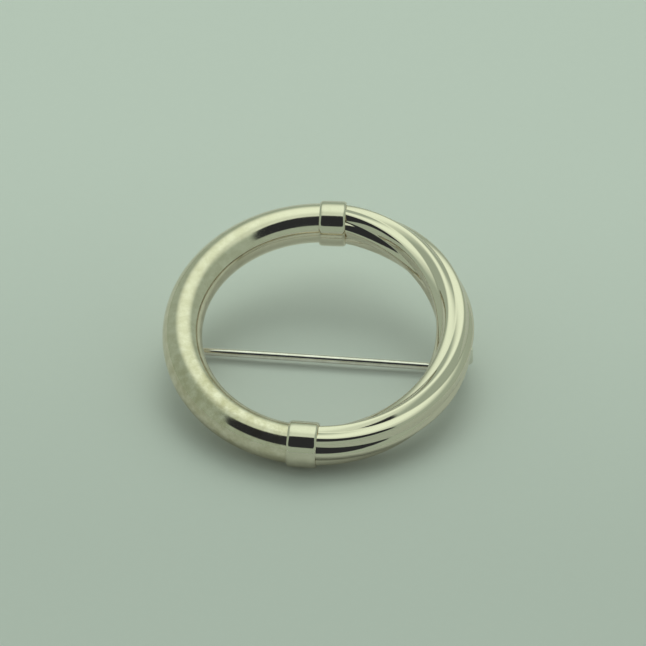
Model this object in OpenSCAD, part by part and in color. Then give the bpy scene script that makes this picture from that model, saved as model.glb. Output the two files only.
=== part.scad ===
// Fluted brooch. Sizes in mm, +Z up, lying on its back as it rests on a table.
// The ring is made flat, with its front up, and then tipped onto its three points of rest.

/* [Ring] */
// Width over the whole ring
ring_width = 38; // [30:0.5:50]
// Diameter of the plain tube
tube_diameter = 4.86; // [4:0.01:6.5]
// Wall of the plain tube
tube_wall = 0.45; // [0.35:0.05:0.8]
// How far round the fluted half reaches, clockwise from the top band, in degrees
fluted_reach = 180.7; // [170:0.2:190]

/* [Flutes] */
// Number of flutes around the tube
flute_count = 7; // [5:1:10]
// Diameter over the crests of the flutes, at both ends
crest_diameter = 4.88; // [3.9:0.01:6.4]
// How much slimmer the fluted tube is at its middle, as a share
flute_waist = 0.04; // [0:0.01:0.08]
// Radius of each flank of a flute
flank_radius = 2.46; // [1.6:0.01:4]
// How far the centre of a flank lies aside of the flute's middle, in degrees
flank_aside = 20; // [8:0.5:24]
// How far the ridge between two flanks is rounded
ridge_round = 0.37; // [0.05:0.01:0.4]
// Bore of the fluted tube
flute_bore = 3.4; // [2.6:0.05:3.8]
// Where the first valley starts at the top band, in degrees round the tube
valley_start = 8; // [0:1:51]
// Twist of the flutes from the top band to the bottom band, in degrees
twist_total = 147; // [0:1:240]
// How much quicker the twist starts than it ends
twist_ease = 0.32; // [0:0.01:0.6]

/* [Bands] */
// Width of the top band
top_band_width = 3.2; // [2:0.05:5]
// Width of the bottom band
bottom_band_width = 3.55; // [2:0.05:5]
// How far the middle of the top band lies clockwise of the joint in it, in degrees
top_band_turn = 0.4; // [-1:0.1:1]
// How far the top band sits out of line with the ring, in degrees
top_band_skew = 2.5; // [0:0.5:3]
// How far each band stands above the plain tube
band_rise = 0.38; // [0.2:0.01:0.6]
// Depth of the long chamfer at each end of a band, which is twice as long as deep
band_chamfer = 0.14; // [0.05:0.01:0.2]
// Gap between a band and the tube in it
band_gap = 0.05; // [0.02:0.01:0.1]
// Gap between the two halves inside each band
joint_gap = 0.12; // [0.05:0.01:0.3]

/* [Pin] */
// Diameter of the pin stem
pin_diameter = 0.96; // [0.7:0.02:1.2]
// How far the pin lies behind the middle plane of the ring
pin_depth = 5.6; // [4:0.1:6.5]
// Distance from the ring centre to the rivet
rivet_distance = 16.3; // [14:0.1:18]
// Distance from the ring centre to the point
point_distance = 17.8; // [17:0.1:18.5]
// Length of the taper to the point
point_taper = 4.4; // [2:0.1:8]
// Radius of the pin's eye
eye_radius = 0.78; // [0.7:0.01:1]
// Thickness of the pin's eye
eye_thickness = 0.8; // [0.7:0.05:1]

/* [Hinge] */
// Diameter of the rivet
rivet_diameter = 0.64; // [0.5:0.02:0.8]
// Running clearance of the rivet in the eye, all round
eye_clearance = 0.04; // [0.02:0.01:0.08]
// Thickness of each ear
ear_thickness = 0.45; // [0.4:0.05:0.8]
// Radius of each ear's rounded end
ear_radius = 0.8; // [0.7:0.01:1]
// Gap beside the eye, on each side
ear_gap = 0.07; // [0.04:0.01:0.15]

/* [Catch] */
// Length of the catch along the pin
catch_length = 2.6; // [2:0.1:4]
// Distance from the ring centre to the catch's inner end
catch_distance = 14.6; // [14:0.1:15.5]
// Width of the catch's mouth and bore
catch_mouth = 1.24; // [1.1:0.02:1.5]
// Width of the foot under the fluted tube
foot_width = 1.5; // [1.2:0.1:2.2]
// How far the foot's rounded end reaches from the ring centre
foot_reach = 18.8; // [17:0.1:19]
// How deep the foot reaches behind the middle plane
foot_depth = 3.8; // [3:0.1:4.2]

/* [Hidden] */
tube_r = tube_diameter / 2;
ring_r = ring_width / 2 - tube_r;
band_r = tube_r + band_rise;
joint_angle = joint_gap / ring_r * 90 / PI;
pin_r = pin_diameter / 2;
rivet_r = rivet_diameter / 2;
ear_inner = eye_thickness / 2 + ear_gap;
ear_half = ear_inner + ear_thickness;

// A flute has two flanks, each an arc. The flanks would meet in a ridge at ridge_r, which is rounded.
flute_angle = 360 / flute_count;
ridge_r = crest_diameter / 2 + ridge_round / 6;
flank_out = ridge_r - flank_radius * cos(flank_aside);
flank_side = flank_radius * sin(flank_aside);
flank_rest = pow(flank_radius, 2) - pow(flank_out, 2) - pow(flank_side, 2);

// The near band and the near corners of the ears touch the table together.
ear_depth = pin_depth + ear_radius;
rest_tilt = atan2(ear_depth, ring_r - ear_half)
    - asin(band_r / norm([ear_depth, ring_r - ear_half]));
rest_height = ring_r * sin(rest_tilt) + band_r;

// The catch reaches the table too, with the near edge of its mouth.
mouth_depth = ear_depth + (ear_half - catch_mouth / 2) * tan(rest_tilt);
catch_r = norm([catch_mouth / 2, mouth_depth - pin_depth]);

// Mesh of the fluted tube.
stations = 48;
points_per_flute = 8;
outer_points = flute_count * points_per_flute;
bore_points = outer_points / 2;
clear = 0.5;

// Angle of the first valley round the tube, at a share u of the way from top to bottom.
function valley(u) = valley_start + twist_total * (u + twist_ease * u * (1 - u));

// Outer radius of the fluted tube, at an angle from a valley.
function flute_surface(angle) =
    let (a = angle % flute_angle - flute_angle / 2, one = flank(a), other = flank(-a),
        near = max(1 - abs(one - other) / ridge_round, 0))
    min(one, other) - pow(near, 3) * ridge_round / 6;

// Radius of one flank alone, at an angle from the crest.
function flank(a) =
    let (along = flank_out * cos(a) + flank_side * sin(a))
    along + sqrt(pow(along, 2) + flank_rest);

// Point on the tube: turn is clockwise from the top band, angle is round the tube.
function on_tube(turn, angle, radius) =
    let (out = ring_r + radius * cos(angle))
    [out * sin(turn), out * cos(turn), radius * sin(angle)];

function station_turn(u) = joint_angle + u * (fluted_reach - 2 * joint_angle);

// Tip the flat ring onto its rest.
module at_rest() translate([0, 0, rest_height]) rotate([rest_tilt, 0, 0]) children();

// Part of a plain ring of tube, from one turn to another, clockwise from the top band.
module tube_arc(from, to, radius, bore)
    rotate([0, 0, 90 - to])
        rotate_extrude(angle = to - from, $fn = 96)
            translate([ring_r, 0])
                difference() {
                    circle(r = radius, $fn = 64);
                    if (bore > 0) circle(r = bore, $fn = 64);
                }

module fluted_tube() {
    outer = [for (j = [0:stations], i = [0:outer_points - 1])
        let (u = j / stations, a = i * 360 / outer_points)
        on_tube(station_turn(u), valley(u) + a, flute_surface(a) * (1 - flute_waist * 4 * u * (1 - u)))];
    bore = [for (j = [0:stations], i = [0:bore_points - 1])
        let (u = j / stations, a = i * 360 / bore_points)
        on_tube(station_turn(u), valley(u) + a, flute_bore / 2)];
    first = len(outer);
    function o(j, i) = j * outer_points + i % outer_points;
    function b(j, i) = first + j * bore_points + i % bore_points;
    skin = [for (j = [0:stations - 1], i = [0:outer_points - 1])
        each [[o(j, i), o(j + 1, i), o(j + 1, i + 1)], [o(j, i), o(j + 1, i + 1), o(j, i + 1)]]];
    inside = [for (j = [0:stations - 1], i = [0:bore_points - 1])
        each [[b(j, i), b(j + 1, i + 1), b(j + 1, i)], [b(j, i), b(j, i + 1), b(j + 1, i + 1)]]];
    start = [for (i = [0:bore_points - 1])
        each [[o(0, 2 * i), o(0, 2 * i + 1), b(0, i)], [o(0, 2 * i + 1), b(0, i + 1), b(0, i)],
            [o(0, 2 * i + 1), o(0, 2 * i + 2), b(0, i + 1)]]];
    last = stations;
    end = [for (i = [0:bore_points - 1])
        each [[o(last, 2 * i + 1), o(last, 2 * i), b(last, i)],
            [b(last, i + 1), o(last, 2 * i + 1), b(last, i)],
            [o(last, 2 * i + 2), o(last, 2 * i + 1), b(last, i + 1)]]];
    polyhedron(concat(outer, bore), concat(skin, inside, start, end), convexity = 6);
}

// Place a piece on the pin's line, at a distance from the ring centre.
module on_pin_line(x) translate([x, 0, -pin_depth]) children();

// A round piece across the pin, about the rivet's line.
module across(radius, width, sides)
    on_pin_line(-rivet_distance) rotate([90, 0, 0])
        cylinder(r = radius, h = width, center = true, $fn = sides);

module hinge_body() {
    saddle_top = 2.1;
    saddle_depth = 3.4;
    difference() {
        union() {
            for (side = [-1, 1])
                translate([0, side * (ear_inner + ear_thickness / 2), 0]) {
                    across(ear_radius, ear_thickness, 48);
                    translate([-rivet_distance - ear_radius, -ear_thickness / 2, -pin_depth])
                        cube([2 * ear_radius, ear_thickness, pin_depth - saddle_top]);
                }
            translate([-rivet_distance - 1.3, -ear_half, -saddle_depth])
                cube([2.4, 2 * ear_half, saddle_depth - saddle_top]);
        }
        across(rivet_r + 0.02, 2 * ear_half + clear, 32);
    }
}

module catch_body() {
    neck = 0.9;
    seat_r = 2.02;  // the foot is cut to this radius, a little inside the valleys of the flutes
    foot_flat = foot_reach - foot_width / 2;
    difference() {
        union() {
            translate([catch_distance, -foot_width / 2, -foot_depth])
                cube([foot_flat - catch_distance, foot_width, foot_depth]);
            translate([foot_flat, 0, -foot_depth])
                cylinder(r = foot_width / 2, h = foot_depth, $fn = 32);
            translate([catch_distance, -neck / 2, -pin_depth])
                cube([catch_length, neck, pin_depth - foot_depth + 0.2]);
            on_pin_line(catch_distance) rotate([0, 90, 0])
                cylinder(r = catch_r, h = catch_length, $fn = 48);
        }
        tube_arc(80, 100, seat_r, 0);
        on_pin_line(catch_distance - clear) rotate([0, 90, 0])
            cylinder(r = catch_mouth / 2, h = catch_length + 2 * clear, $fn = 32);
        translate([catch_distance - clear, -catch_mouth / 2, -pin_depth - 2])
            cube([catch_length + 2 * clear, catch_mouth, 2]);
    }
}

module plain_half() color([0.86, 0.86, 0.8]) at_rest() {
    tube_arc(fluted_reach + joint_angle, 360 - joint_angle, tube_r, tube_r - tube_wall);
    hinge_body();
}

module fluted_half() color([0.84, 0.85, 0.8]) at_rest() {
    fluted_tube();
    catch_body();
}

// A straight collar on the ring, with a bore that follows the ring.
module band(turn, width, skew) {
    past = 10;
    inset = pow(width / 2, 2) / ring_r / 4;  // the ring bends away from a straight line by twice this
    difference() {
        rotate([0, 0, -turn]) translate([0, ring_r - inset, 0]) rotate([0, 0, skew]) rotate([0, 90, 0])
            collar(band_r, width / 2, band_chamfer);
        tube_arc(turn - past, turn + past, tube_r + band_gap, 0);
    }
}

module collar(radius, half, edge)
    rotate_extrude($fn = 96)
        polygon([[0, -half], [radius - edge, -half], [radius, 2 * edge - half],
            [radius, half - 2 * edge], [radius - edge, half], [0, half]]);

module top_band() color([0.9, 0.9, 0.84]) at_rest() band(top_band_turn, top_band_width, top_band_skew);

module bottom_band() color([0.9, 0.9, 0.84]) at_rest() band(fluted_reach, bottom_band_width, 0);

module hinge_rivet() color([0.8, 0.8, 0.78]) at_rest() {
    head = 0.2;
    across(rivet_r, 2 * ear_half + 0.3, 32);
    for (side = [-1, 1])
        translate([0, side * (ear_half + 0.04 + head / 2), 0]) across(rivet_r + 0.18, head, 32);
}

module pin_stem() color([0.82, 0.83, 0.8]) at_rest() {
    root = ear_radius + 0.06;
    straight = rivet_distance + point_distance - point_taper;
    difference() {
        union() {
            across(eye_radius, eye_thickness, 48);
            on_pin_line(-rivet_distance) rotate([0, 90, 0]) rotate([0, 0, 22.5])
                cylinder(d = eye_thickness / cos(22.5), h = root + 0.2, $fn = 8);
            on_pin_line(root - rivet_distance) rotate([0, 90, 0])
                cylinder(r = pin_r, h = straight - root, $fn = 32);
            on_pin_line(straight - rivet_distance) rotate([0, 90, 0])
                cylinder(r1 = pin_r, r2 = 0.1, h = point_taper, $fn = 32);
        }
        across(rivet_r + eye_clearance, eye_thickness + clear, 32);
    }
}

plain_half();
fluted_half();
top_band();
bottom_band();
hinge_rivet();
pin_stem();
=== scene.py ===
import math

import bmesh
import bpy
from mathutils import Matrix, Vector


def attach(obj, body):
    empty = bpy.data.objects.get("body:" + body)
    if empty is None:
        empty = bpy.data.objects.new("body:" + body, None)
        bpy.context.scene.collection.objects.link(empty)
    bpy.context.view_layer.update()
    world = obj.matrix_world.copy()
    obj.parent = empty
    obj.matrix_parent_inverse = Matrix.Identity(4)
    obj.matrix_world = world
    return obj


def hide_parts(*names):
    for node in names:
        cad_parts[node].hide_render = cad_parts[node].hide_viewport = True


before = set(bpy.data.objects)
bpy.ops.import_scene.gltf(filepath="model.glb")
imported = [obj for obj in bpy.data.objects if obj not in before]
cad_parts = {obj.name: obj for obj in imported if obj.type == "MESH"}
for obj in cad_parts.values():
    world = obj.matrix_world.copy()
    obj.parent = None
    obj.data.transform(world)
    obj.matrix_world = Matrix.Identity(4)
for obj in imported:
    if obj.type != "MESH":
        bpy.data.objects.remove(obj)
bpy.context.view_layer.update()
scene = bpy.context.scene
print("frame loaded:", ", ".join(sorted(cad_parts)))

# Sizes of the ring in mm, as in the part's source. The ring is made flat, with its front up,
# and then leaned onto its points of rest.
mm = 0.001
ring = {
    "width": 38.0,
    "tube": 4.86,
    "flutedReach": 180.7,  # degrees clockwise from the top joint
    "bandRise": 0.38,
    "bandGap": 0.05,
    "jointGap": 0.12,
    "pinDepth": 5.6,
    "earRadius": 0.8,
    "earHalf": 0.92,  # from the pin's line to the outer face of an ear
}
tubeRadius = ring["tube"] / 2
ringRadius = ring["width"] / 2 - tubeRadius
bandRadius = tubeRadius + ring["bandRise"]
jointTurn = math.degrees(ring["jointGap"] / 2 / ringRadius)
restDepth = ring["pinDepth"] + ring["earRadius"]
restReach = ringRadius - ring["earHalf"]
restLean = math.atan2(restDepth, restReach) - math.asin(bandRadius / math.hypot(restDepth, restReach))
restLift = ringRadius * math.sin(restLean) + bandRadius
restMatrix = (
    Matrix.Translation((0, 0, restLift * mm))
    @ Matrix.Rotation(restLean, 4, "X")
    @ Matrix.Scale(mm, 4)
)


# Helpers for node trees and meshes

def calc(tree, operation, *values):
    node = tree.nodes.new("ShaderNodeMath")
    node.operation = operation
    feed(tree, node.inputs, values)
    return node.outputs[0]


def feed(tree, sockets, values):
    for socket, value in zip(sockets, values):
        if isinstance(value, bpy.types.NodeSocket):
            tree.links.new(value, socket)
        elif value is not None:
            socket.default_value = value


def smoothStep(tree, value, low, high, start=0.0, end=1.0):
    node = tree.nodes.new("ShaderNodeMapRange")
    node.interpolation_type = "SMOOTHSTEP"
    feed(tree, node.inputs, (value, low, high, start, end))
    return node.outputs[0]


def mixColour(tree, factor, first, second, blend="MIX"):
    node = tree.nodes.new("ShaderNodeMix")
    node.data_type = "RGBA"
    node.blend_type = blend
    feed(tree, (node.inputs[0], node.inputs[6], node.inputs[7]), (factor, first, second))
    return node.outputs[2]


def noise(tree, vector, scale, detail=2.0, roughness=0.5, distortion=0.0):
    node = tree.nodes.new("ShaderNodeTexNoise")
    feed(tree, (node.inputs["Vector"], node.inputs["Scale"]), (vector, scale))
    node.inputs["Detail"].default_value = detail
    node.inputs["Roughness"].default_value = roughness
    node.inputs["Distortion"].default_value = distortion
    return node.outputs["Fac"]


def objectPlace(tree):
    return tree.nodes.new("ShaderNodeTexCoord").outputs["Object"]


def axesOf(tree, vector):
    node = tree.nodes.new("ShaderNodeSeparateXYZ")
    tree.links.new(vector, node.inputs[0])
    return node.outputs


def stretch(tree, vector, scale):
    node = tree.nodes.new("ShaderNodeMapping")
    node.inputs["Scale"].default_value = scale
    tree.links.new(vector, node.inputs["Vector"])
    return node.outputs[0]


def newTree(name, kind, inputs, outputs):
    tree = bpy.data.node_groups.new(name, kind)
    for label, socketType, value in inputs:
        socket = tree.interface.new_socket(name=label, in_out="INPUT", socket_type=socketType)
        if value is not None:
            socket.default_value = value
    for label, socketType in outputs:
        tree.interface.new_socket(name=label, in_out="OUTPUT", socket_type=socketType)
    return tree, tree.nodes.new("NodeGroupInput"), tree.nodes.new("NodeGroupOutput")


def ringPoint(turn, angle, radius):
    t, a = math.radians(turn), math.radians(angle)
    out = ringRadius + radius * math.cos(a)
    return Vector((out * math.sin(t), out * math.cos(t), radius * math.sin(a)))


def makePiece(name, points, faces, material, uvs=None):
    mesh = bpy.data.meshes.new(name)
    mesh.from_pydata([restMatrix @ Vector(p) for p in points], [], faces)
    if uvs:
        layer = mesh.uv_layers.new(name="alongAround")
        flat = [value for face in uvs for uv in face for value in uv]
        layer.data.foreach_set("uv", flat)
    return finishPiece(name, mesh, material)


def finishPiece(name, mesh, material):
    work = bmesh.new()
    work.from_mesh(mesh)
    bmesh.ops.recalc_face_normals(work, faces=work.faces)
    work.to_mesh(mesh)
    work.free()
    mesh.materials.clear()
    mesh.materials.append(material)
    mesh.shade_smooth()
    piece = bpy.data.objects.new(name, mesh)
    scene.collection.objects.link(piece)
    return piece


def soften(piece, width, segments=3, angle=35):
    bevel = piece.modifiers.new("softEdges", "BEVEL")
    bevel.width = width * mm
    bevel.segments = segments
    bevel.limit_method = "ANGLE"
    bevel.angle_limit = math.radians(angle)
    bevel.harden_normals = True
    settled = bpy.data.meshes.new_from_object(piece.evaluated_get(bpy.context.evaluated_depsgraph_get()))
    piece.modifiers.remove(bevel)
    piece.data = settled
    return piece


def sweepRows(rows, sides):
    # rows are (turn, radius) along the ring; both ends are closed with a cap
    points, faces, uvs = [], [], []
    for turn, radius in rows:
        points += [ringPoint(turn, 360 * i / sides, radius) for i in range(sides)]
    around = math.tau * tubeRadius / sides
    along = [math.radians(turn) * ringRadius for turn, radius in rows]
    for j in range(len(rows) - 1):
        k = j + 1
        for i in range(sides):
            n = (i + 1) % sides
            faces.append((j * sides + i, j * sides + n, k * sides + n, k * sides + i))
            uvs.append(((along[j], i * around), (along[j], (i + 1) * around),
                        (along[k], (i + 1) * around), (along[k], i * around)))
    for j, order in ((0, 1), (len(rows) - 1, -1)):
        points.append(ringPoint(rows[j][0], 0, 0))
        for i in range(sides):
            n = (i + 1) % sides
            faces.append((len(points) - 1, j * sides + n, j * sides + i)[::order])
            uvs.append(((along[j], 0), (along[j], (i + 1) * around), (along[j], i * around))[::order])
    return points, faces, uvs


# Shader groups shared by the silver finishes

linePattern = {
    "longStretch": (0.035, 1.0, 1.0), "longDetail": 2.0, "longRoughness": 0.6,
    "slantStretch": (0.3, 0.09, 1.0), "slantScale": 0.8, "slantDetail": 1.0, "slantShare": 0.4,
    "maskFrom": 0.55, "maskTo": 0.75,
}


def polishLinesGroup(look):
    # fine lines left by the polishing cloth, stretched along the first coordinate
    tree, start, end = newTree(
        "polishLines", "ShaderNodeTree",
        [("Vector", "NodeSocketVector", None), ("Lines", "NodeSocketFloat", 12.0)],
        [("Height", "NodeSocketFloat"), ("Mask", "NodeSocketFloat")])
    scaled = tree.nodes.new("ShaderNodeVectorMath")
    scaled.operation = "SCALE"
    tree.links.new(start.outputs["Vector"], scaled.inputs[0])
    tree.links.new(start.outputs["Lines"], scaled.inputs["Scale"])
    long = noise(tree, stretch(tree, scaled.outputs[0], look["longStretch"]),
                 1.0, look["longDetail"], look["longRoughness"])
    slanted = noise(tree, stretch(tree, scaled.outputs[0], look["slantStretch"]),
                    look["slantScale"], look["slantDetail"])
    height = calc(tree, "ADD", long, calc(tree, "MULTIPLY", slanted, look["slantShare"]))
    tree.links.new(height, end.inputs["Height"])
    tree.links.new(smoothStep(tree, long, look["maskFrom"], look["maskTo"]), end.inputs["Mask"])
    return tree


hazePattern = {
    "cloudDetail": 3.0, "cloudDistortion": 0.6, "cloudFrom": 0.42, "cloudTo": 0.66,
    "smearStretch": (1.0, 2.2, 1.4), "smearScale": 1900.0, "smearDetail": 2.0, "smearRoughness": 0.55,
    "smearFrom": 0.4, "smearTo": 0.75,
    "grainDetail": 4.0, "grainRoughness": 0.7, "grainFrom": 0.35, "grainTo": 0.68, "grainInCloud": 0.7,
}


def handlingHazeGroup(look):
    # soft patches of haze from handling, and a fine mottling that is strongest inside them
    tree, start, end = newTree(
        "handlingHaze", "ShaderNodeTree",
        [("Vector", "NodeSocketVector", None), ("Patches", "NodeSocketFloat", 260.0),
         ("Mottles", "NodeSocketFloat", 1800.0)],
        [("Mask", "NodeSocketFloat"), ("Smear", "NodeSocketFloat"), ("Mottling", "NodeSocketFloat")])
    place = start.outputs["Vector"]
    cloud = noise(tree, place, start.outputs["Patches"], look["cloudDetail"],
                  distortion=look["cloudDistortion"])
    mask = smoothStep(tree, cloud, look["cloudFrom"], look["cloudTo"])
    tree.links.new(mask, end.inputs["Mask"])
    smear = noise(tree, stretch(tree, place, look["smearStretch"]),
                  look["smearScale"], look["smearDetail"], look["smearRoughness"])
    tree.links.new(smoothStep(tree, smear, look["smearFrom"], look["smearTo"]), end.inputs["Smear"])
    grain = noise(tree, place, start.outputs["Mottles"], look["grainDetail"], look["grainRoughness"])
    share = calc(tree, "MULTIPLY_ADD", mask, look["grainInCloud"], 1 - look["grainInCloud"])
    mottles = smoothStep(tree, grain, look["grainFrom"], look["grainTo"])
    tree.links.new(calc(tree, "MULTIPLY", mottles, share), end.inputs["Mottling"])
    return tree


filmPattern = {"scale": 700.0, "detail": 3.0, "roughness": 0.6, "from": 0.25, "to": 0.7}


def tarnishGroup(look):
    # a warm grey film where a mask is high, broken up by noise
    tree, start, end = newTree(
        "tarnish", "ShaderNodeTree",
        [("Vector", "NodeSocketVector", None), ("Metal", "NodeSocketColor", None),
         ("Film", "NodeSocketColor", None), ("Where", "NodeSocketFloat", 0.0),
         ("Amount", "NodeSocketFloat", 0.5)],
        [("Color", "NodeSocketColor"), ("Mask", "NodeSocketFloat")])
    broken = noise(tree, start.outputs["Vector"], look["scale"], look["detail"], look["roughness"])
    broken = smoothStep(tree, broken, look["from"], look["to"])
    mask = calc(tree, "MULTIPLY", start.outputs["Where"], broken)
    mask = calc(tree, "MULTIPLY", mask, start.outputs["Amount"])
    colour = mixColour(tree, mask, start.outputs["Metal"], start.outputs["Film"])
    tree.links.new(colour, end.inputs["Color"])
    tree.links.new(mask, end.inputs["Mask"])
    return tree


groups = {
    "lines": polishLinesGroup(linePattern),
    "haze": handlingHazeGroup(hazePattern),
    "tarnish": tarnishGroup(filmPattern),
}


def addGroup(tree, which, **inputs):
    node = tree.nodes.new("ShaderNodeGroup")
    node.node_tree = groups[which]
    for label, value in inputs.items():
        feed(tree, (node.inputs[label],), (value,))
    return node


def silver(name, look, pattern, where):
    # pattern and where are functions that give the direction of the lines and the place of the film
    material = bpy.data.materials.new(name)
    material.use_nodes = True
    tree = material.node_tree
    shader = tree.nodes["Principled BSDF"]
    place = objectPlace(tree)
    lines = addGroup(tree, "lines", Vector=pattern(tree), Lines=look["lines"])
    haze = addGroup(tree, "haze", Vector=place, Patches=look["patches"])
    film = addGroup(tree, "tarnish", Vector=place, Metal=look["metal"], Film=look["film"],
                    Where=where(tree), Amount=look["filmAmount"])
    dull = calc(tree, "MULTIPLY", haze.outputs["Mottling"], where(tree))
    dull = calc(tree, "MULTIPLY", dull, look["mottling"])
    dull = mixColour(tree, dull, film.outputs["Color"], look["film"])
    tree.links.new(dull, shader.inputs["Base Color"])
    rough = calc(tree, "MULTIPLY_ADD", lines.outputs["Mask"], look["lineRough"], look["rough"])
    rough = calc(tree, "MULTIPLY_ADD", haze.outputs["Mask"], look["hazeRough"], rough)
    rough = calc(tree, "MULTIPLY_ADD", haze.outputs["Smear"], look["smearRough"], rough)
    rough = calc(tree, "MULTIPLY_ADD", film.outputs["Mask"], look["filmRough"], rough)
    tree.links.new(rough, shader.inputs["Roughness"])
    shader.inputs["Metallic"].default_value = 1.0
    bump = tree.nodes.new("ShaderNodeBump")
    bump.inputs["Distance"].default_value = look["bump"] * mm
    tree.links.new(lines.outputs["Height"], bump.inputs["Height"])
    tree.links.new(bump.outputs["Normal"], shader.inputs["Normal"])
    return material


def tubePattern(tree):
    node = tree.nodes.new("ShaderNodeUVMap")
    node.uv_map = "alongAround"
    return node.outputs["UV"]


def wirePattern(tree):
    return stretch(tree, objectPlace(tree), (1 / mm,) * 3)


# Where the film lies: places in mm on the resting brooch, and shares of its full strength
filmPlace = {
    "lowTop": 7.0, "lowLeast": 0.15,
    "leftFrom": -3.0, "leftTo": -14.0, "left": 0.4,
    "nearFrom": -2.0, "nearTo": -13.0, "near": 0.65, "all": 0.08,
    "valleyFrom": 0.8,  # share of the way from a crest down to a valley
}


def lowSide(tree):
    # the film is stronger low down, nearer the floor
    high = axesOf(tree, objectPlace(tree))["Z"]
    return smoothStep(tree, high, filmPlace["lowTop"] * mm, 0.0, filmPlace["lowLeast"], 1.0)


def heldSide(tree):
    # the film and haze of handling grow to the left and, more, toward the near side
    place = axesOf(tree, objectPlace(tree))
    left = smoothStep(tree, place["X"], filmPlace["leftFrom"] * mm, filmPlace["leftTo"] * mm,
                      0.0, filmPlace["left"])
    near = smoothStep(tree, place["Y"], filmPlace["nearFrom"] * mm, filmPlace["nearTo"] * mm,
                      0.0, filmPlace["near"])
    return calc(tree, "MINIMUM", calc(tree, "ADD", calc(tree, "ADD", left, near), filmPlace["all"]), 1.0)


def valleys(tree):
    node = tree.nodes.new("ShaderNodeAttribute")
    node.attribute_name = "valley"
    return smoothStep(tree, node.outputs["Fac"], filmPlace["valleyFrom"], 1.0)


plainLook = {
    "metal": (0.82, 0.735, 0.612, 1), "film": (0.46, 0.4, 0.24, 1), "filmAmount": 0.62,
    "rough": 0.06, "lineRough": 0.03, "hazeRough": 0.06, "smearRough": 0.03, "filmRough": 0.06,
    "lines": 9.0, "patches": 230.0, "bump": 0.0006, "mottling": 0.26,
}
flutedLook = {
    "metal": (0.78, 0.7, 0.585, 1), "film": (0.46, 0.41, 0.32, 1), "filmAmount": 0.12,
    "rough": 0.05, "lineRough": 0.03, "hazeRough": 0.03, "smearRough": 0.02, "filmRough": 0.2,
    "lines": 9.0, "patches": 260.0, "bump": 0.0005, "mottling": 0.12,
}
bandLook = {
    "metal": (0.78, 0.705, 0.59, 1), "film": (0.4, 0.36, 0.26, 1), "filmAmount": 0.3,
    "rough": 0.05, "lineRough": 0.04, "hazeRough": 0.04, "smearRough": 0.02, "filmRough": 0.15,
    "lines": 12.0, "patches": 300.0, "bump": 0.0006, "mottling": 0.3,
}
wireLook = {
    "metal": (0.8, 0.77, 0.68, 1), "film": (0.4, 0.37, 0.3, 1), "filmAmount": 0.3,
    "rough": 0.05, "lineRough": 0.05, "hazeRough": 0.03, "smearRough": 0.02, "filmRough": 0.15,
    "lines": 14.0, "patches": 500.0, "bump": 0.0006, "mottling": 0.2,
}
pinLook = {
    "metal": (0.94, 0.87, 0.84, 1), "film": (0.55, 0.48, 0.38, 1), "filmAmount": 0.35,
    "rough": 0.08, "lineRough": 0.05, "hazeRough": 0.02, "smearRough": 0.02, "filmRough": 0.1,
    "lines": 14.0, "patches": 500.0, "bump": 0.0005, "mottling": 0.1,
}
plainSilver = silver("plainSilver", plainLook, tubePattern, heldSide)
flutedSilver = silver("flutedSilver", flutedLook, tubePattern, valleys)
bandSilver = silver("bandSilver", bandLook, tubePattern, lowSide)
wireSilver = silver("wireSilver", wireLook, wirePattern, lowSide)
pinSteel = silver("pinSteel", pinLook, wirePattern, lowSide)
print("silver finishes made")


# Plain half of the ring

plainTube = {"sides": 128, "stations": 160}


def makePlainTube(sizes):
    first, last, steps = ring["flutedReach"] + jointTurn, 360 - jointTurn, sizes["stations"]
    rows = [(first + (last - first) * j / steps, tubeRadius) for j in range(steps + 1)]
    points, faces, uvs = sweepRows(rows, sizes["sides"])
    return makePiece("plainTube", points, faces, plainSilver, uvs)


# Fluted half: a tree sweeps a section of rounded flutes along the arc and twists it

flutes = {
    "Flutes": 7,
    "Points a Flute": 24,
    "Stations": 220,
    "Ring Radius": ringRadius,
    "Crest Radius": 2.44,
    "Flank Radius": 2.46,
    "Ridge Half Angle": 20.0,
    "Ridge Blend": 0.37,
    "Valley Blend": 0.07,
    "Waist": 0.04,
    "First Valley": 8.0,
    "Twist": 147.0,
    "Twist Ease": 0.32,
    "From": jointTurn,
    "To": ring["flutedReach"] - jointTurn,
    "Lean": restLean,
    "Lift": restLift * mm,
    "Scale": mm,
    "Merge Distance": 0.0005,
}


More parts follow.
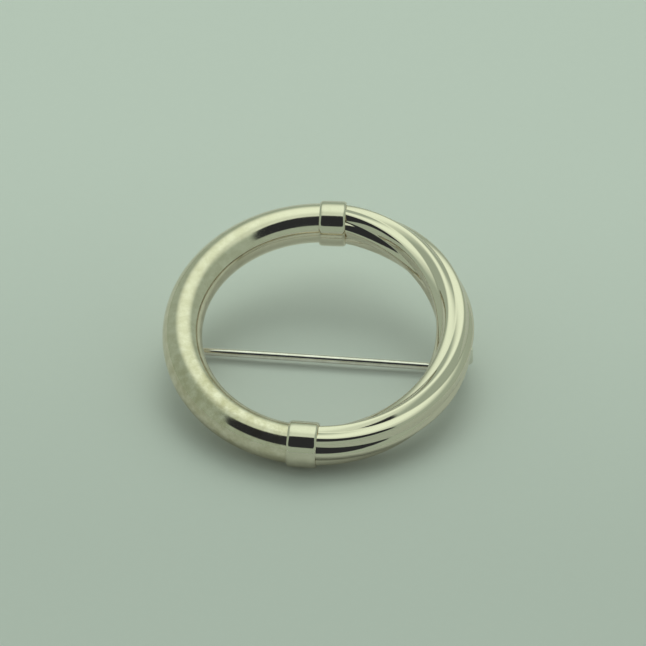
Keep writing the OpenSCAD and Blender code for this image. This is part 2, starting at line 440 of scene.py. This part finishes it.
def twistedFlutesTree(sizes):
    inputs = [(label, "NodeSocketInt" if isinstance(value, int) else "NodeSocketFloat", value)
              for label, value in sizes.items()]
    tree, start, end = newTree(
        "twistedFlutes", "GeometryNodeTree",
        inputs + [("Material", "NodeSocketMaterial", None)], [("Geometry", "NodeSocketGeometry")])
    size = start.outputs
    nodes, link = tree.nodes, tree.links.new

    # a flat grid: its first side becomes the way along the arc, its second the way round the tube
    grid = nodes.new("GeometryNodeMeshGrid")
    rows = calc(tree, "ADD", size["Stations"], 3)  # one row more at each end closes the end
    sides = calc(tree, "MULTIPLY", size["Flutes"], size["Points a Flute"])
    feed(tree, grid.inputs, (1.0, 1.0, rows, calc(tree, "ADD", sides, 1)))
    spot = axesOf(tree, nodes.new("GeometryNodeInputPosition").outputs[0])
    row = calc(tree, "ROUND", calc(tree, "MULTIPLY", calc(tree, "ADD", spot["X"], 0.5),
                                   calc(tree, "SUBTRACT", rows, 1)))
    side = calc(tree, "ROUND", calc(tree, "MULTIPLY", calc(tree, "ADD", spot["Y"], 0.5), sides))
    share = calc(tree, "DIVIDE", calc(tree, "SUBTRACT", row, 1), size["Stations"])
    share = calc(tree, "MINIMUM", calc(tree, "MAXIMUM", share, 0), 1)
    inside = calc(tree, "MULTIPLY", calc(tree, "GREATER_THAN", row, 0.5),
                  calc(tree, "LESS_THAN", row, calc(tree, "SUBTRACT", rows, 1.5)))

    # a flute is two arcs, one for each flank, that meet in a rounded ridge
    step = calc(tree, "DIVIDE", math.tau, size["Flutes"])
    angle = calc(tree, "MULTIPLY", calc(tree, "DIVIDE", side, sides), math.tau)
    inStep = calc(tree, "DIVIDE", calc(tree, "MODULO", side, size["Points a Flute"]),
                  size["Points a Flute"])
    fromCrest = calc(tree, "ABSOLUTE", calc(tree, "MULTIPLY", calc(tree, "SUBTRACT", inStep, 0.5), step))
    ridge = calc(tree, "RADIANS", size["Ridge Half Angle"])
    top = calc(tree, "MULTIPLY_ADD", size["Ridge Blend"], 1 / 6, size["Crest Radius"])
    centreOut = calc(tree, "SUBTRACT", top,
                     calc(tree, "MULTIPLY", size["Flank Radius"], calc(tree, "COSINE", ridge)))
    centreAside = calc(tree, "MULTIPLY", size["Flank Radius"], calc(tree, "SINE", ridge))
    reach = calc(tree, "SUBTRACT", calc(tree, "POWER", size["Flank Radius"], 2),
                 calc(tree, "ADD", calc(tree, "POWER", centreOut, 2), calc(tree, "POWER", centreAside, 2)))

    def flank(turned, sign):
        aside = calc(tree, "MULTIPLY", centreAside, sign)
        along = calc(tree, "MULTIPLY_ADD", centreOut, calc(tree, "COSINE", turned),
                     calc(tree, "MULTIPLY", aside, calc(tree, "SINE", turned)))
        return calc(tree, "ADD", along, calc(tree, "SQRT", calc(tree, "MULTIPLY_ADD", along, along, reach)))

    def fluteRadius(turned):
        return calc(tree, "SMOOTH_MIN", flank(turned, -1), flank(turned, 1), size["Ridge Blend"])

    radius = calc(tree, "SMOOTH_MAX", fluteRadius(fromCrest),
                  fluteRadius(calc(tree, "SUBTRACT", step, fromCrest)), size["Valley Blend"])
    middle = calc(tree, "MULTIPLY", calc(tree, "MULTIPLY", share, calc(tree, "SUBTRACT", 1, share)), -4)
    waist = calc(tree, "MULTIPLY_ADD", size["Waist"], middle, 1)
    radius = calc(tree, "MULTIPLY", calc(tree, "MULTIPLY", radius, waist), inside)

    # the twist starts quicker than it ends
    eased = calc(tree, "MULTIPLY", size["Twist Ease"],
                 calc(tree, "MULTIPLY", share, calc(tree, "SUBTRACT", 1, share)))
    twist = calc(tree, "MULTIPLY_ADD", size["Twist"], calc(tree, "ADD", share, eased), size["First Valley"])
    around = calc(tree, "ADD", calc(tree, "RADIANS", twist), angle)
    turn = calc(tree, "RADIANS", calc(tree, "MULTIPLY_ADD", share,
                                      calc(tree, "SUBTRACT", size["To"], size["From"]), size["From"]))
    out = calc(tree, "MULTIPLY_ADD", radius, calc(tree, "COSINE", around), size["Ring Radius"])
    place = nodes.new("ShaderNodeCombineXYZ")
    feed(tree, place.inputs, (calc(tree, "MULTIPLY", out, calc(tree, "SINE", turn)),
                              calc(tree, "MULTIPLY", out, calc(tree, "COSINE", turn)),
                              calc(tree, "MULTIPLY", radius, calc(tree, "SINE", around))))

    # the pattern's own coordinates, and how near a point is to a valley, are kept before the grid is bent
    pattern = nodes.new("ShaderNodeCombineXYZ")
    feed(tree, pattern.inputs, (calc(tree, "MULTIPLY", turn, size["Ring Radius"]),
                                calc(tree, "MULTIPLY", angle, size["Crest Radius"]), 0.0))
    keepPattern = nodes.new("GeometryNodeStoreNamedAttribute")
    keepPattern.data_type, keepPattern.domain = "FLOAT2", "CORNER"
    keepPattern.inputs["Name"].default_value = "alongAround"
    link(grid.outputs["Mesh"], keepPattern.inputs["Geometry"])
    link(pattern.outputs[0], keepPattern.inputs["Value"])
    keepValley = nodes.new("GeometryNodeStoreNamedAttribute")
    keepValley.data_type, keepValley.domain = "FLOAT", "POINT"
    keepValley.inputs["Name"].default_value = "valley"
    link(keepPattern.outputs[0], keepValley.inputs["Geometry"])
    link(calc(tree, "DIVIDE", fromCrest, calc(tree, "DIVIDE", step, 2)), keepValley.inputs["Value"])

    bend = nodes.new("GeometryNodeSetPosition")
    link(keepValley.outputs[0], bend.inputs["Geometry"])
    link(place.outputs[0], bend.inputs["Position"])
    close = nodes.new("GeometryNodeMergeByDistance")
    link(size["Merge Distance"], close.inputs["Distance"])
    link(bend.outputs[0], close.inputs["Geometry"])
    outward = nodes.new("GeometryNodeFlipFaces")
    link(close.outputs[0], outward.inputs["Mesh"])
    rest = nodes.new("GeometryNodeTransform")
    link(outward.outputs[0], rest.inputs["Geometry"])
    placing = {
        "Translation": (None, None, size["Lift"]),
        "Rotation": (size["Lean"], None, None),
        "Scale": (size["Scale"],) * 3,
    }
    for label, axes in placing.items():
        parts = nodes.new("ShaderNodeCombineXYZ")
        feed(tree, parts.inputs, axes)
        link(parts.outputs[0], rest.inputs[label])
    smooth = nodes.new("GeometryNodeSetShadeSmooth")
    link(rest.outputs[0], smooth.inputs["Geometry"])
    real = nodes.new("GeometryNodeRealizeInstances")
    link(smooth.outputs[0], real.inputs["Geometry"])
    finish = nodes.new("GeometryNodeSetMaterial")
    link(real.outputs[0], finish.inputs["Geometry"])
    link(size["Material"], finish.inputs["Material"])
    link(finish.outputs[0], end.inputs[0])
    return tree


def grow(name, tree, values, material):
    # runs a tree on an empty object and keeps its plain mesh
    holder = bpy.data.objects.new(name + "Holder", bpy.data.meshes.new(name + "Holder"))
    scene.collection.objects.link(holder)
    modifier = holder.modifiers.new("tree", "NODES")
    modifier.node_group = tree
    for item in tree.interface.items_tree:
        if item.in_out == "INPUT":
            modifier[item.identifier] = material if item.name == "Material" else values[item.name]
    bpy.context.view_layer.update()
    mesh = bpy.data.meshes.new_from_object(holder.evaluated_get(bpy.context.evaluated_depsgraph_get()))
    holder.modifiers.remove(modifier)
    bpy.data.objects.remove(holder)
    piece = bpy.data.objects.new(name, mesh)
    mesh.name = name
    scene.collection.objects.link(piece)
    return piece


# Bands over the joints: straight collars with a bore that follows the ring

band = {"sides": 160, "edge": 0.28, "edgeDepth": 0.14, "edgeCurve": 1.35, "edgeSteps": 6,
        "crown": 0.02, "crownSteps": 8, "lip": 0.03}
bandPlaces = {
    "topBand": {"node": "top_band", "turn": 0.4, "width": 3.2, "skew": 2.5, "flutedSide": 1},
    "bottomBand": {"node": "bottom_band", "turn": ring["flutedReach"], "width": 3.55, "skew": 0.0,
                   "flutedSide": -1},
}
solder = {"recess": 0.1, "thickness": 0.2, "inner": 1.75, "outer": 2.465}  # it closes the flutes' ends


def bandSection(half, sizes):
    # (along, radius) over the outside, from end to end: each end is a long, slightly curved chamfer
    edge, top = sizes["edge"], bandRadius - sizes["crown"]
    chamfer = []
    for i in range(sizes["edgeSteps"]):
        left = 1 - i / sizes["edgeSteps"]
        chamfer.append((half - edge * (1 - left), top - sizes["edgeDepth"] * left ** sizes["edgeCurve"]))
    crown = []
    for i in range(sizes["crownSteps"] + 1):
        share = 1 - 2 * i / sizes["crownSteps"]
        crown.append((share * (half - edge), top + sizes["crown"] * (1 - share * share)))
    return chamfer + crown + [(-along, radius) for along, radius in chamfer[::-1]]


def collarPoints(place):
    # two functions: a point on the straight collar, and one beside the bent tube in the same cross plane
    half, skew = place["width"] / 2, math.radians(place["skew"])
    centre = ringRadius - half * half / ringRadius / 4  # the straight axis halves the bow of the ring
    toPlace = Matrix.Rotation(-math.radians(place["turn"]), 4, "Z")
    toCollar = toPlace @ Matrix.Translation((0, centre, 0)) @ Matrix.Rotation(skew, 4, "Z")

    def onCollar(along, radius, a):
        return toCollar @ Vector((along, radius * math.cos(a), radius * math.sin(a)))

    def besideTube(along, radius, a):
        out = ringRadius + radius * math.cos(a)
        turn = math.degrees(math.asin((along + centre * math.sin(skew)) / out) - skew)
        return toPlace @ ringPoint(turn, math.degrees(a), radius)

    return onCollar, besideTube


def roundSection(name, rows, sides):
    # turns a closed section round the tube; rows are (point function, along, radius)
    points, faces, uvs = [], [], []
    for i in range(sides):
        points += [place(along, radius, math.tau * i / sides) for place, along, radius in rows]
    count, way = len(rows), [0.0]
    for (_, along, radius), (_, nextAlong, nextRadius) in zip(rows, rows[1:] + rows[:1]):
        way.append(way[-1] + math.hypot(nextAlong - along, nextRadius - radius))
    step = math.tau * tubeRadius / sides
    for i in range(sides):
        n = (i + 1) % sides
        for j in range(count):
            k = (j + 1) % count
            faces.append((i * count + j, i * count + k, n * count + k, n * count + j))
            # the lines of a band run round the tube, so that is its first coordinate
            uvs.append(((i * step, way[j]), (i * step, way[j + 1]),
                        ((i + 1) * step, way[j + 1]), ((i + 1) * step, way[j])))
    return makePiece(name, points, faces, bandSilver, uvs)


def makeBand(name, place, sizes):
    half, bore, lip = place["width"] / 2, tubeRadius + ring["bandGap"], sizes["lip"]
    onCollar, besideTube = collarPoints(place)
    inner = [(-half, bore + lip), (-half + lip, bore), (half - lip, bore), (half, bore + lip)]
    rows = [(besideTube, along, radius) for along, radius in inner]
    rows += [(onCollar, along, radius) for along, radius in bandSection(half, sizes)]
    return roundSection(name, rows, sizes["sides"])


def makeSolder(name, place, sizes):
    besideTube = collarPoints(place)[1]
    outerEnd = place["flutedSide"] * (place["width"] / 2 - sizes["recess"])
    innerEnd = outerEnd - place["flutedSide"] * sizes["thickness"]
    corners = [(outerEnd, sizes["inner"]), (outerEnd, sizes["outer"]),
               (innerEnd, sizes["outer"]), (innerEnd, sizes["inner"])]
    return roundSection(name, [(besideTube, along, radius) for along, radius in corners], band["sides"])


# Hinge and catch, soldered behind the ring, with the pin between them

fittings = {
    "eyeThickness": 0.8, "earGap": 0.07, "earThickness": 0.45, "earSteps": 24, "earEdge": 0.07,
    "saddleTop": 2.1, "saddleDepth": 3.4, "saddleBack": 1.3, "saddleFront": 1.1, "saddleEdge": 0.16,
    "rivetReach": 16.3, "rivetRadius": 0.32, "rivetPlay": 0.02,
    "headRadius": 0.5, "headHeight": 0.2, "headGap": 0.04, "headSides": 48, "domeSteps": 8,
    "headRim": 0.97,  # share of the head's radius at its underside
    "catchStart": 14.6, "catchLength": 2.6, "catchMouth": 1.24, "catchRadius": 1.066,
    "barrelSteps": 40, "mouthSteps": 24, "barrelEdge": 0.07,
    "footWidth": 1.5, "footReach": 18.8, "footDepth": 3.8, "footTop": 1.2, "footSteps": 20,
    "footEdge": 0.14,
    "neck": 0.9, "neckInset": 0.1, "neckStart": 0.85, "neckSink": 0.3, "neckEdge": 0.1,
}


def plate(outline, hole, low, high, turned):
    # a flat outline, with an optional hole, raised from low to high; turned puts its points in place
    work = bmesh.new()
    for loop in [outline] + ([hole] if hole else []):
        made = [work.verts.new((x, y, low)) for x, y in loop]
        for a, b in zip(made, made[1:] + made[:1]):
            work.edges.new((a, b))
    bmesh.ops.triangle_fill(work, edges=work.edges[:], use_beauty=True)
    grown = bmesh.ops.extrude_face_region(work, geom=work.faces[:])
    moved = [v for v in grown["geom"] if isinstance(v, bmesh.types.BMVert)]
    bmesh.ops.translate(work, vec=(0, 0, high - low), verts=moved)
    bmesh.ops.dissolve_limit(work, angle_limit=0.01, verts=work.verts[:], edges=work.edges[:])
    points = [turned(v.co) for v in work.verts]
    work.verts.index_update()
    faces = [[v.index for v in face.verts] for face in work.faces]
    work.free()
    return points, faces


def circle(centre, radius, sides=48):
    return arc(centre, radius, 0, 360 - 360 / sides, sides - 1)


def arc(centre, radius, start, end, steps):
    return [(centre[0] + radius * math.cos(math.radians(start + (end - start) * i / steps)),
             centre[1] + radius * math.sin(math.radians(start + (end - start) * i / steps)))
            for i in range(steps + 1)]


def makeHinge(sizes):
    x, depth = -sizes["rivetReach"], -ring["pinDepth"]
    radius, inner = ring["earRadius"], sizes["eyeThickness"] / 2 + sizes["earGap"]
    top = -sizes["saddleTop"]
    outline = arc((x, depth), radius, 180, 360, sizes["earSteps"])
    outline += [(x + radius, top), (x - radius, top)]
    bore = circle((x, depth), sizes["rivetRadius"] + sizes["rivetPlay"])
    pieces = []
    for label, side in (("hingeEarNear", -1), ("hingeEarFar", 1)):
        points, faces = plate(outline, bore, inner, inner + sizes["earThickness"],
                              lambda p: (p.x, side * p.z, p.y))
        pieces.append(soften(makePiece(label, points, faces, wireSilver), sizes["earEdge"]))
    half = inner + sizes["earThickness"]
    corners = [(x - sizes["saddleBack"], -half), (x + sizes["saddleFront"], -half),
               (x + sizes["saddleFront"], half), (x - sizes["saddleBack"], half)]
    points, faces = plate(corners, None, -sizes["saddleDepth"], top, tuple)
    pieces.append(soften(makePiece("hingeSaddle", points, faces, wireSilver), sizes["saddleEdge"]))
    return pieces


def makeCatch(sizes):
    half, flat = sizes["footWidth"] / 2, sizes["footReach"] - sizes["footWidth"] / 2
    start = sizes["catchStart"]
    outline = arc((flat, 0), half, -90, 90, sizes["footSteps"]) + [(start, half), (start, -half)]
    points, faces = plate(outline, None, -sizes["footDepth"], -sizes["footTop"], tuple)
    foot = soften(makePiece("catchFoot", points, faces, wireSilver), sizes["footEdge"])
    depth, mouth = -ring["pinDepth"], sizes["catchMouth"] / 2
    low = math.degrees(math.asin(mouth / sizes["catchRadius"]))
    section = arc((0, depth), sizes["catchRadius"], -90 + low, 270 - low, sizes["barrelSteps"])
    section += arc((0, depth), mouth, 180, 0, sizes["mouthSteps"])
    points, faces = plate(section, None, start, start + sizes["catchLength"], lambda p: (p.z, p.x, p.y))
    barrel = soften(makePiece("catchBarrel", points, faces, wireSilver), sizes["barrelEdge"])
    reach, first = sizes["neck"] / 2, start + sizes["neckInset"]
    last = start + sizes["catchLength"] - sizes["neckInset"]
    corners = [(first, -reach), (last, -reach), (last, reach), (first, reach)]
    points, faces = plate(corners, None, depth + sizes["neckStart"],
                          -sizes["footDepth"] + sizes["neckSink"], tuple)
    return [foot, barrel, soften(makePiece("catchNeck", points, faces, wireSilver), sizes["neckEdge"])]


def lathe(section, sides, turned):
    # section is (along, radius), with a radius of zero at both ends; turned puts a point in place
    points, faces = [turned(section[0][0], 0, 0)], []
    rings = section[1:-1]
    for along, radius in rings:
        angles = [math.tau * i / sides for i in range(sides)]
        points += [turned(along, radius * math.cos(a), radius * math.sin(a)) for a in angles]
    points.append(turned(section[-1][0], 0, 0))
    for i in range(sides):
        n = (i + 1) % sides
        faces.append((0, 1 + n, 1 + i))
        for j in range(len(rings) - 1):
            a, b = 1 + j * sides, 1 + (j + 1) * sides
            faces.append((a + i, a + n, b + n, b + i))
        last = 1 + (len(rings) - 1) * sides
        faces.append((len(points) - 1, last + i, last + n))
    return points, faces


def makeRivet(sizes):
    half = sizes["eyeThickness"] / 2 + sizes["earGap"] + sizes["earThickness"] + sizes["headGap"]
    head, shank, height = sizes["headRadius"], sizes["rivetRadius"], sizes["headHeight"]
    angles = [math.pi / 2 * i / sizes["domeSteps"] for i in range(sizes["domeSteps"])]
    dome = [(half + height * math.sin(a), head * math.cos(a)) for a in angles]
    dome = [(half, shank), (half, head * sizes["headRim"])] + dome + [(half + height, 0)]
    section = [(-along, radius) for along, radius in dome[::-1]] + dome
    points, faces = lathe(section, sizes["headSides"], lambda along, aside, up: (
        -sizes["rivetReach"] + aside, along, -ring["pinDepth"] + up))
    return makePiece("rivet", points, faces, wireSilver)


pin = {
    "radius": 0.48, "start": 0.62, "point": 17.8, "bow": 0.07, "sides": 40, "stations": 90,
    "neckEnd": 1.7, "neckWidth": 0.98, "neckHeight": 1.05,  # width and height as shares of the eye's half
    "taper": 4.4, "taperCurve": 0.85, "tip": 0.1, "tipEnd": 0.5,
    "eyeRadius": 0.78, "eyeHole": 0.36, "eyeEdge": 0.12,
}


def makePin(sizes):
    start, end = -fittings["rivetReach"] + sizes["start"], sizes["point"]
    flat, steps, sides = fittings["eyeThickness"] / 2, sizes["stations"], sizes["sides"]
    neckWidth, neckHeight = flat * sizes["neckWidth"], flat * sizes["neckHeight"]
    middle = (start + end) / 2
    points, faces = [], []
    for j in range(steps + 1):
        share = j / steps
        x = start + (end - start) * share
        neck = min(1, (x - start) / (sizes["neckEnd"] - sizes["start"]))
        neck = neck * neck * (3 - 2 * neck)
        width = neckWidth + (sizes["radius"] - neckWidth) * neck
        height = neckHeight + (sizes["radius"] - neckHeight) * neck
        left = (end - x) / sizes["taper"]
        if left < 1:
            thin = sizes["tip"] / sizes["radius"]
            width = height = sizes["radius"] * (thin + (1 - thin) * left ** sizes["taperCurve"])
        if j == steps:
            width = height = sizes["tip"] * sizes["tipEnd"]
        rise = sizes["bow"] * (1 - ((x - middle) / (end - middle)) ** 2)
        points += [(x, width * math.cos(math.tau * i / sides),
                    -ring["pinDepth"] + rise + height * math.sin(math.tau * i / sides))
                   for i in range(sides)]
    for j in range(steps):
        for i in range(sides):
            a, b, n = j * sides, (j + 1) * sides, (i + 1) % sides
            faces.append((a + i, a + n, b + n, b + i))
    faces.append(tuple(range(sides))[::-1])
    faces.append(tuple(range(steps * sides, (steps + 1) * sides)))
    stem = makePiece("pinStem", points, faces, pinSteel)
    centre = (-fittings["rivetReach"], -ring["pinDepth"])
    points, faces = plate(circle(centre, sizes["eyeRadius"]), circle(centre, sizes["eyeHole"]),
                          -flat, flat, lambda p: (p.x, p.z, p.y))
    return [stem, soften(makePiece("pinEye", points, faces, pinSteel), sizes["eyeEdge"])]


def setOn(pieces, body, slot, *nodes):
    for piece in pieces:
        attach(piece, body)
        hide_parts(*nodes)


setOn([makePlainTube(plainTube)], "ring", "plain_tube", "plain_half")
flutedTube = grow("flutedTube", twistedFlutesTree(flutes), flutes, flutedSilver)
setOn([flutedTube], "ring", "fluted_tube", "fluted_half")
for bandName, bandPlace in bandPlaces.items():
    pieces = [makeBand(bandName, bandPlace, band), makeSolder(bandName + "Solder", bandPlace, solder)]
    setOn(pieces, "ring", "band", bandPlace["node"])
print("ring made")
setOn(makeHinge(fittings), "ring", "fittings", "plain_half")
setOn(makeCatch(fittings), "ring", "fittings", "fluted_half")
setOn([makeRivet(fittings)], "ring", "fittings", "hinge_rivet")
setOn(makePin(pin), "pin", "fittings", "pin_stem")
print("hinge, catch and pin made")


# Pale floor, with painted shade: its colour is darker toward the front

floorLook = {
    "size": 3.0, "near": (0.71, 0.71, 0.71, 1), "far": (0.83, 0.83, 0.83, 1), "from": -0.04, "to": 0.045,
    "grain": 900.0, "grainDetail": 3.0, "grainRoughness": 0.6, "grainDepth": 0.02,
    "rough": 0.9, "specular": 0.1,
}


def makeFloor(look):
    half = look["size"] / 2
    mesh = bpy.data.meshes.new("floor")
    corners = [(-half, -half, 0), (half, -half, 0), (half, half, 0), (-half, half, 0)]
    mesh.from_pydata(corners, [], [(0, 1, 2, 3)])
    floor = bpy.data.objects.new("floor", mesh)
    scene.collection.objects.link(floor)
    material = bpy.data.materials.new("paleFloor")
    material.use_nodes = True
    tree = material.node_tree
    shader = tree.nodes["Principled BSDF"]
    place = objectPlace(tree)
    # painted shade: the floor is coloured darker toward the front and lighter behind, in place of light
    # that falls off toward the front
    paintedShadeBlend = smoothStep(tree, axesOf(tree, place)["Y"], look["from"], look["to"])
    colour = mixColour(tree, paintedShadeBlend, look["near"], look["far"])
    grain = noise(tree, place, look["grain"], look["grainDetail"], look["grainRoughness"])
    grain = calc(tree, "MULTIPLY_ADD", grain, look["grainDepth"], 1 - look["grainDepth"] / 2)
    tree.links.new(mixColour(tree, 1.0, colour, grain, "MULTIPLY"), shader.inputs["Base Color"])
    shader.inputs["Roughness"].default_value = look["rough"]
    shader.inputs["Specular IOR Level"].default_value = look["specular"]
    mesh.materials.append(material)


# Light tent: pale walls, brighter behind and overhead, with an opening at the front

tent = {
    "tint": (0.79, 1.0, 0.81), "topTint": (0.84, 1.0, 0.82), "walls": 0.47, "overhead": 0.4, "back": 0.66,
    "backTurn": 177.0, "backHeight": 57.0, "backInner": 6.0, "backOuter": 41.0,
    "overheadFrom": 52.0, "overheadTo": 80.0,
    "openingSides": (((0.68, -0.71, 0.19), 0.0), ((-0.67, -0.74, 0.07), 0.0),
                     ((0.0, -0.986, -0.168), 0.0), ((0.0, 0.0, 1.0), 0.44)),
    "openingEdge": 0.02, "opening": (0.028, 0.032, 0.036),
    "backdrop": (0.445, 0.552, 0.479),
}


def direction(turn, height):
    # turn is from the front, round to the right; both in degrees
    a, e = math.radians(turn), math.radians(height)
    return Vector((math.sin(a) * math.cos(e), -math.cos(a) * math.cos(e), math.sin(e)))


def facing(tree, way, fixed):
    # 1 where a direction is the fixed one, 0 where it is square to it
    node = tree.nodes.new("ShaderNodeVectorMath")
    node.operation = "DOT_PRODUCT"
    tree.links.new(way, node.inputs[0])
    node.inputs[1].default_value = fixed
    return node.outputs["Value"]


def makeTent(look):
    world = bpy.data.worlds.new("lightTent")
    world.use_nodes = True
    scene.world = world
    tree = world.node_tree
    background = tree.nodes["Background"]
    way = tree.nodes.new("ShaderNodeTexCoord").outputs["Generated"]
    height = calc(tree, "DEGREES", calc(tree, "ARCSINE", axesOf(tree, way)["Z"]))

    # the opening has four sides, each a plane: a direction is in it where it passes all four
    opening = 1.0
    edge = look["openingEdge"]
    for normal, least in look["openingSides"]:
        side = smoothStep(tree, facing(tree, way, normal), least - edge, least + edge)
        opening = calc(tree, "MULTIPLY", opening, side)
    near = facing(tree, way, direction(look["backTurn"], look["backHeight"]))
    back = smoothStep(tree, near, math.cos(math.radians(look["backOuter"])),
                      math.cos(math.radians(look["backInner"])), 0.0, look["back"])
    overhead = smoothStep(tree, height, look["overheadFrom"], look["overheadTo"], 0.0, look["overhead"])
    high = calc(tree, "MAXIMUM", back, overhead)
    level = calc(tree, "ADD", look["walls"], high)
    tint = mixColour(tree, smoothStep(tree, high, 0.0, look["overhead"]),
                     look["tint"] + (1,), look["topTint"] + (1,))
    colour = mixColour(tree, 1.0, tint, level, "MULTIPLY")
    colour = mixColour(tree, opening, colour, look["opening"] + (1,))
    seen = tree.nodes.new("ShaderNodeLightPath").outputs["Is Camera Ray"]
    colour = mixColour(tree, seen, colour, look["backdrop"] + (1,))
    tree.links.new(colour, background.inputs["Color"])


# Two soft lamps: the key behind and above, the fill in front; they light the floor alone

lamps = {
    "keyLight": {"turn": 180.0, "height": 56.0, "distance": 0.7, "size": 0.42, "power": 0.62,
                 "colour": (0.82, 1.0, 0.85)},
    "fillLight": {"turn": -40.0, "height": 62.0, "distance": 0.7, "size": 0.8, "power": 0.34,
                  "colour": (0.82, 1.0, 0.85)},
}


def makeLamp(name, look):
    data = bpy.data.lights.new(name, "AREA")
    data.shape, data.size, data.energy, data.color = "DISK", look["size"], look["power"], look["colour"]
    light = bpy.data.objects.new(name, data)
    toLight = direction(look["turn"], look["height"])
    light.location = toLight * look["distance"]
    light.rotation_euler = toLight.to_track_quat("Z", "Y").to_euler()
    light.visible_glossy = False
    scene.collection.objects.link(light)


# Camera, from the photograph's view

view = {
    "turn": 8.01, "height": 54.47, "roll": -2.713,  # degrees, about the flat ring
    "distance": 0.7, "pixelsPerMm": 8.2368, "frame": 646,
    "aside": -4.35, "below": 9.56,  # where the ring's centre falls from the middle of the frame, in pixels
}


def makeCamera(look):
    back, roll = direction(look["turn"], look["height"]), math.radians(look["roll"])
    right = (-back).cross(Vector((0, 0, 1))).normalized()
    up = right.cross(-back)
    right, up = (math.cos(roll) * right + math.sin(roll) * up,
                 math.cos(roll) * up - math.sin(roll) * right)
    leaned = Matrix.Rotation(restLean, 3, "X")
    back, right, up = leaned @ back, leaned @ right, leaned @ up
    place = Vector((0, 0, restLift * mm)) + look["distance"] * back
    focal = look["pixelsPerMm"] * look["distance"] / mm  # in pixels
    forward = (-back - (look["aside"] * right - look["below"] * up) / focal).normalized()
    right = forward.cross(up).normalized()
    up = right.cross(forward)
    data = bpy.data.cameras.new("camera")
    data.sensor_width = 36.0
    data.lens = focal / look["frame"] * data.sensor_width
    data.clip_start, data.clip_end = 0.01, 20.0
    camera = bpy.data.objects.new("camera", data)
    camera.matrix_world = Matrix.Translation(place) @ Matrix((right, up, -forward)).transposed().to_4x4()
    scene.collection.objects.link(camera)
    scene.camera = camera


makeFloor(floorLook)
makeTent(tent)
for lampName, lamp in lamps.items():
    makeLamp(lampName, lamp)
makeCamera(view)
scene.view_settings.view_transform = "Standard"
print("floor, light and camera made")
